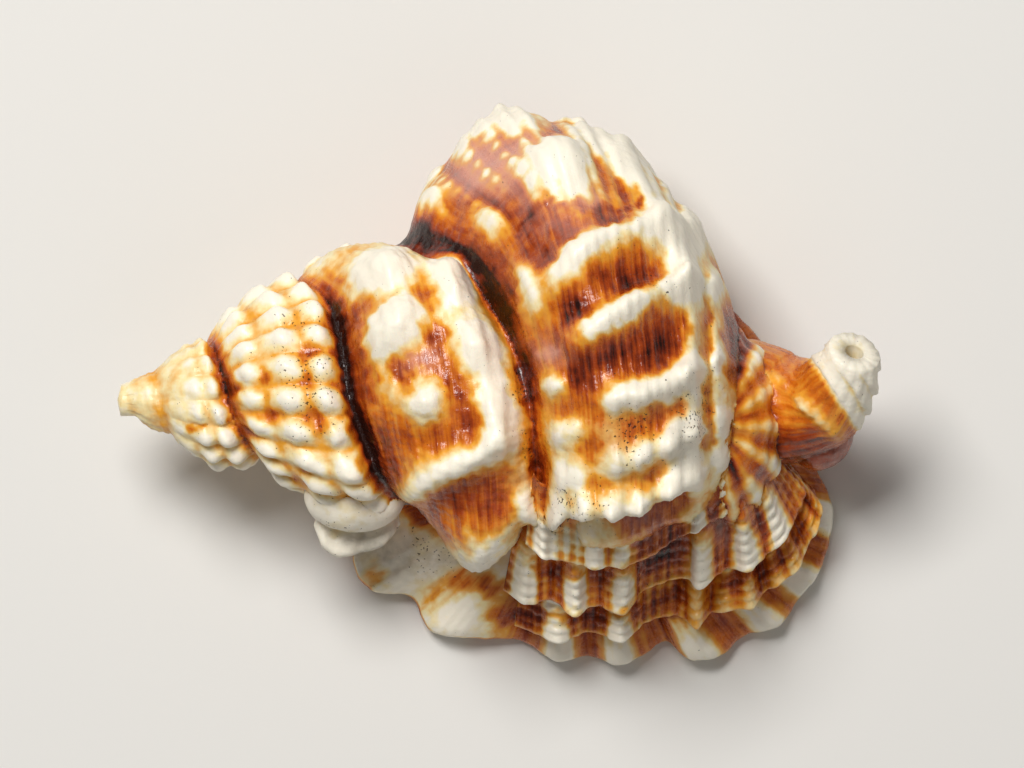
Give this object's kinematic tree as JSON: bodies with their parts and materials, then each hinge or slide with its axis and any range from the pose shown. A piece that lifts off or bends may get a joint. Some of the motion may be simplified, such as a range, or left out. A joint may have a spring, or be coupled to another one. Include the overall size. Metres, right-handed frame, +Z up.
{
  "type": "distorsio sea shell",
  "caption": "Right-handed distorsio sea shell with bulging knobbed whorls, a beaded spire, a frilled outer lip, an upturned canal and a flat shield round the mouth that it lies on.",
  "frame": {"origin": "centre of the overall box in plan, on the flat underside of the shield", "axes": "+X along the coiling axis from the apex to the siphonal canal, +Z up from the shield, outer lip towards -Y"},
  "size_m": [0.0695, 0.051, 0.0361],
  "materials": {
    "shell": "glossy aragonite, cream knobs over red-brown"
  },
  "bodies": {
    "root": {"shell": "shell"}
  },
  "joints": []
}
